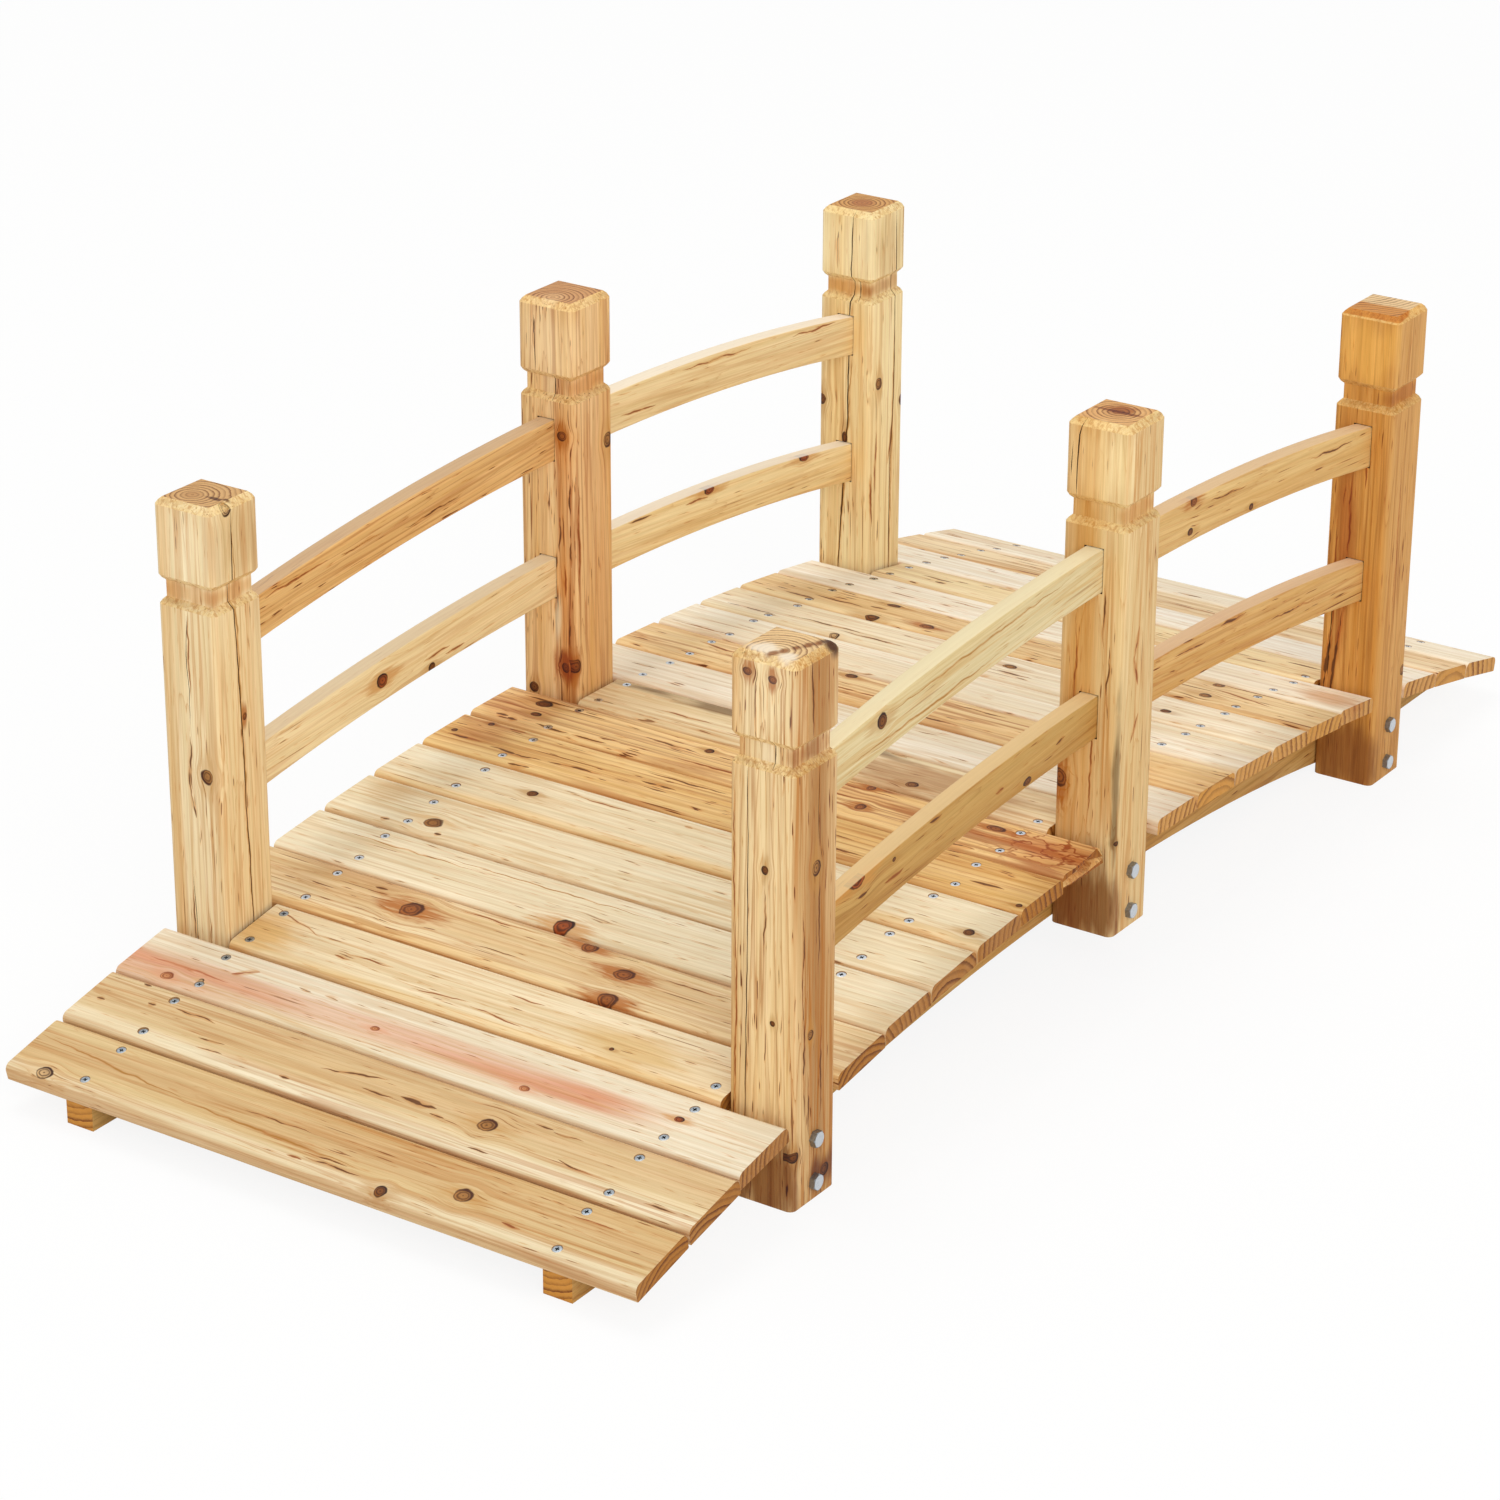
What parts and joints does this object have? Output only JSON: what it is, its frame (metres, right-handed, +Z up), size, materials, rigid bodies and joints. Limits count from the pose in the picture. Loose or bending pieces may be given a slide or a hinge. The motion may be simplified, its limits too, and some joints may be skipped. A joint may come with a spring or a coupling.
{
  "type": "arched garden footbridge",
  "caption": "Small timber garden footbridge: arched plank deck on two bowed stringers, with grooved square posts and arched rails along both sides.",
  "frame": {"origin": "on the ground, under the crown of the deck, halfway along and across the bridge", "axes": "+X along the bridge from the near end to the far end, +Y across it to the left side, +Z up"},
  "size_m": [1.51, 0.64, 0.5134],
  "materials": {
    "deck_wood": "planed pine, unpainted",
    "post_wood": "planed pine, unpainted",
    "rail_wood": "planed pine, unpainted",
    "stringer_wood": "sawn pine, unpainted",
    "zinc": "bright zinc plate"
  },
  "bodies": {
    "root": {"plank_01": "deck_wood", "plank_02": "deck_wood", "plank_03": "deck_wood", "plank_04": "deck_wood", "plank_05": "deck_wood", "plank_06": "deck_wood", "plank_07": "deck_wood", "plank_08": "deck_wood", "plank_09": "deck_wood", "plank_10": "deck_wood", "plank_11": "deck_wood", "plank_12": "deck_wood", "plank_13": "deck_wood", "plank_14": "deck_wood", "plank_15": "deck_wood", "plank_16": "deck_wood", "plank_17": "deck_wood", "plank_18": "deck_wood", "plank_19": "deck_wood", "plank_20": "deck_wood", "plank_21": "deck_wood", "post_near_left": "post_wood", "post_near_right": "post_wood", "post_middle_left": "post_wood", "post_middle_right": "post_wood", "post_far_left": "post_wood", "post_far_right": "post_wood", "rail_upper_near_left": "rail_wood", "rail_upper_near_right": "rail_wood", "rail_upper_far_left": "rail_wood", "rail_upper_far_right": "rail_wood", "rail_lower_near_left": "rail_wood", "rail_lower_near_right": "rail_wood", "rail_lower_far_left": "rail_wood", "rail_lower_far_right": "rail_wood", "stringer_left": "stringer_wood", "stringer_right": "stringer_wood"}
  },
  "joints": []
}
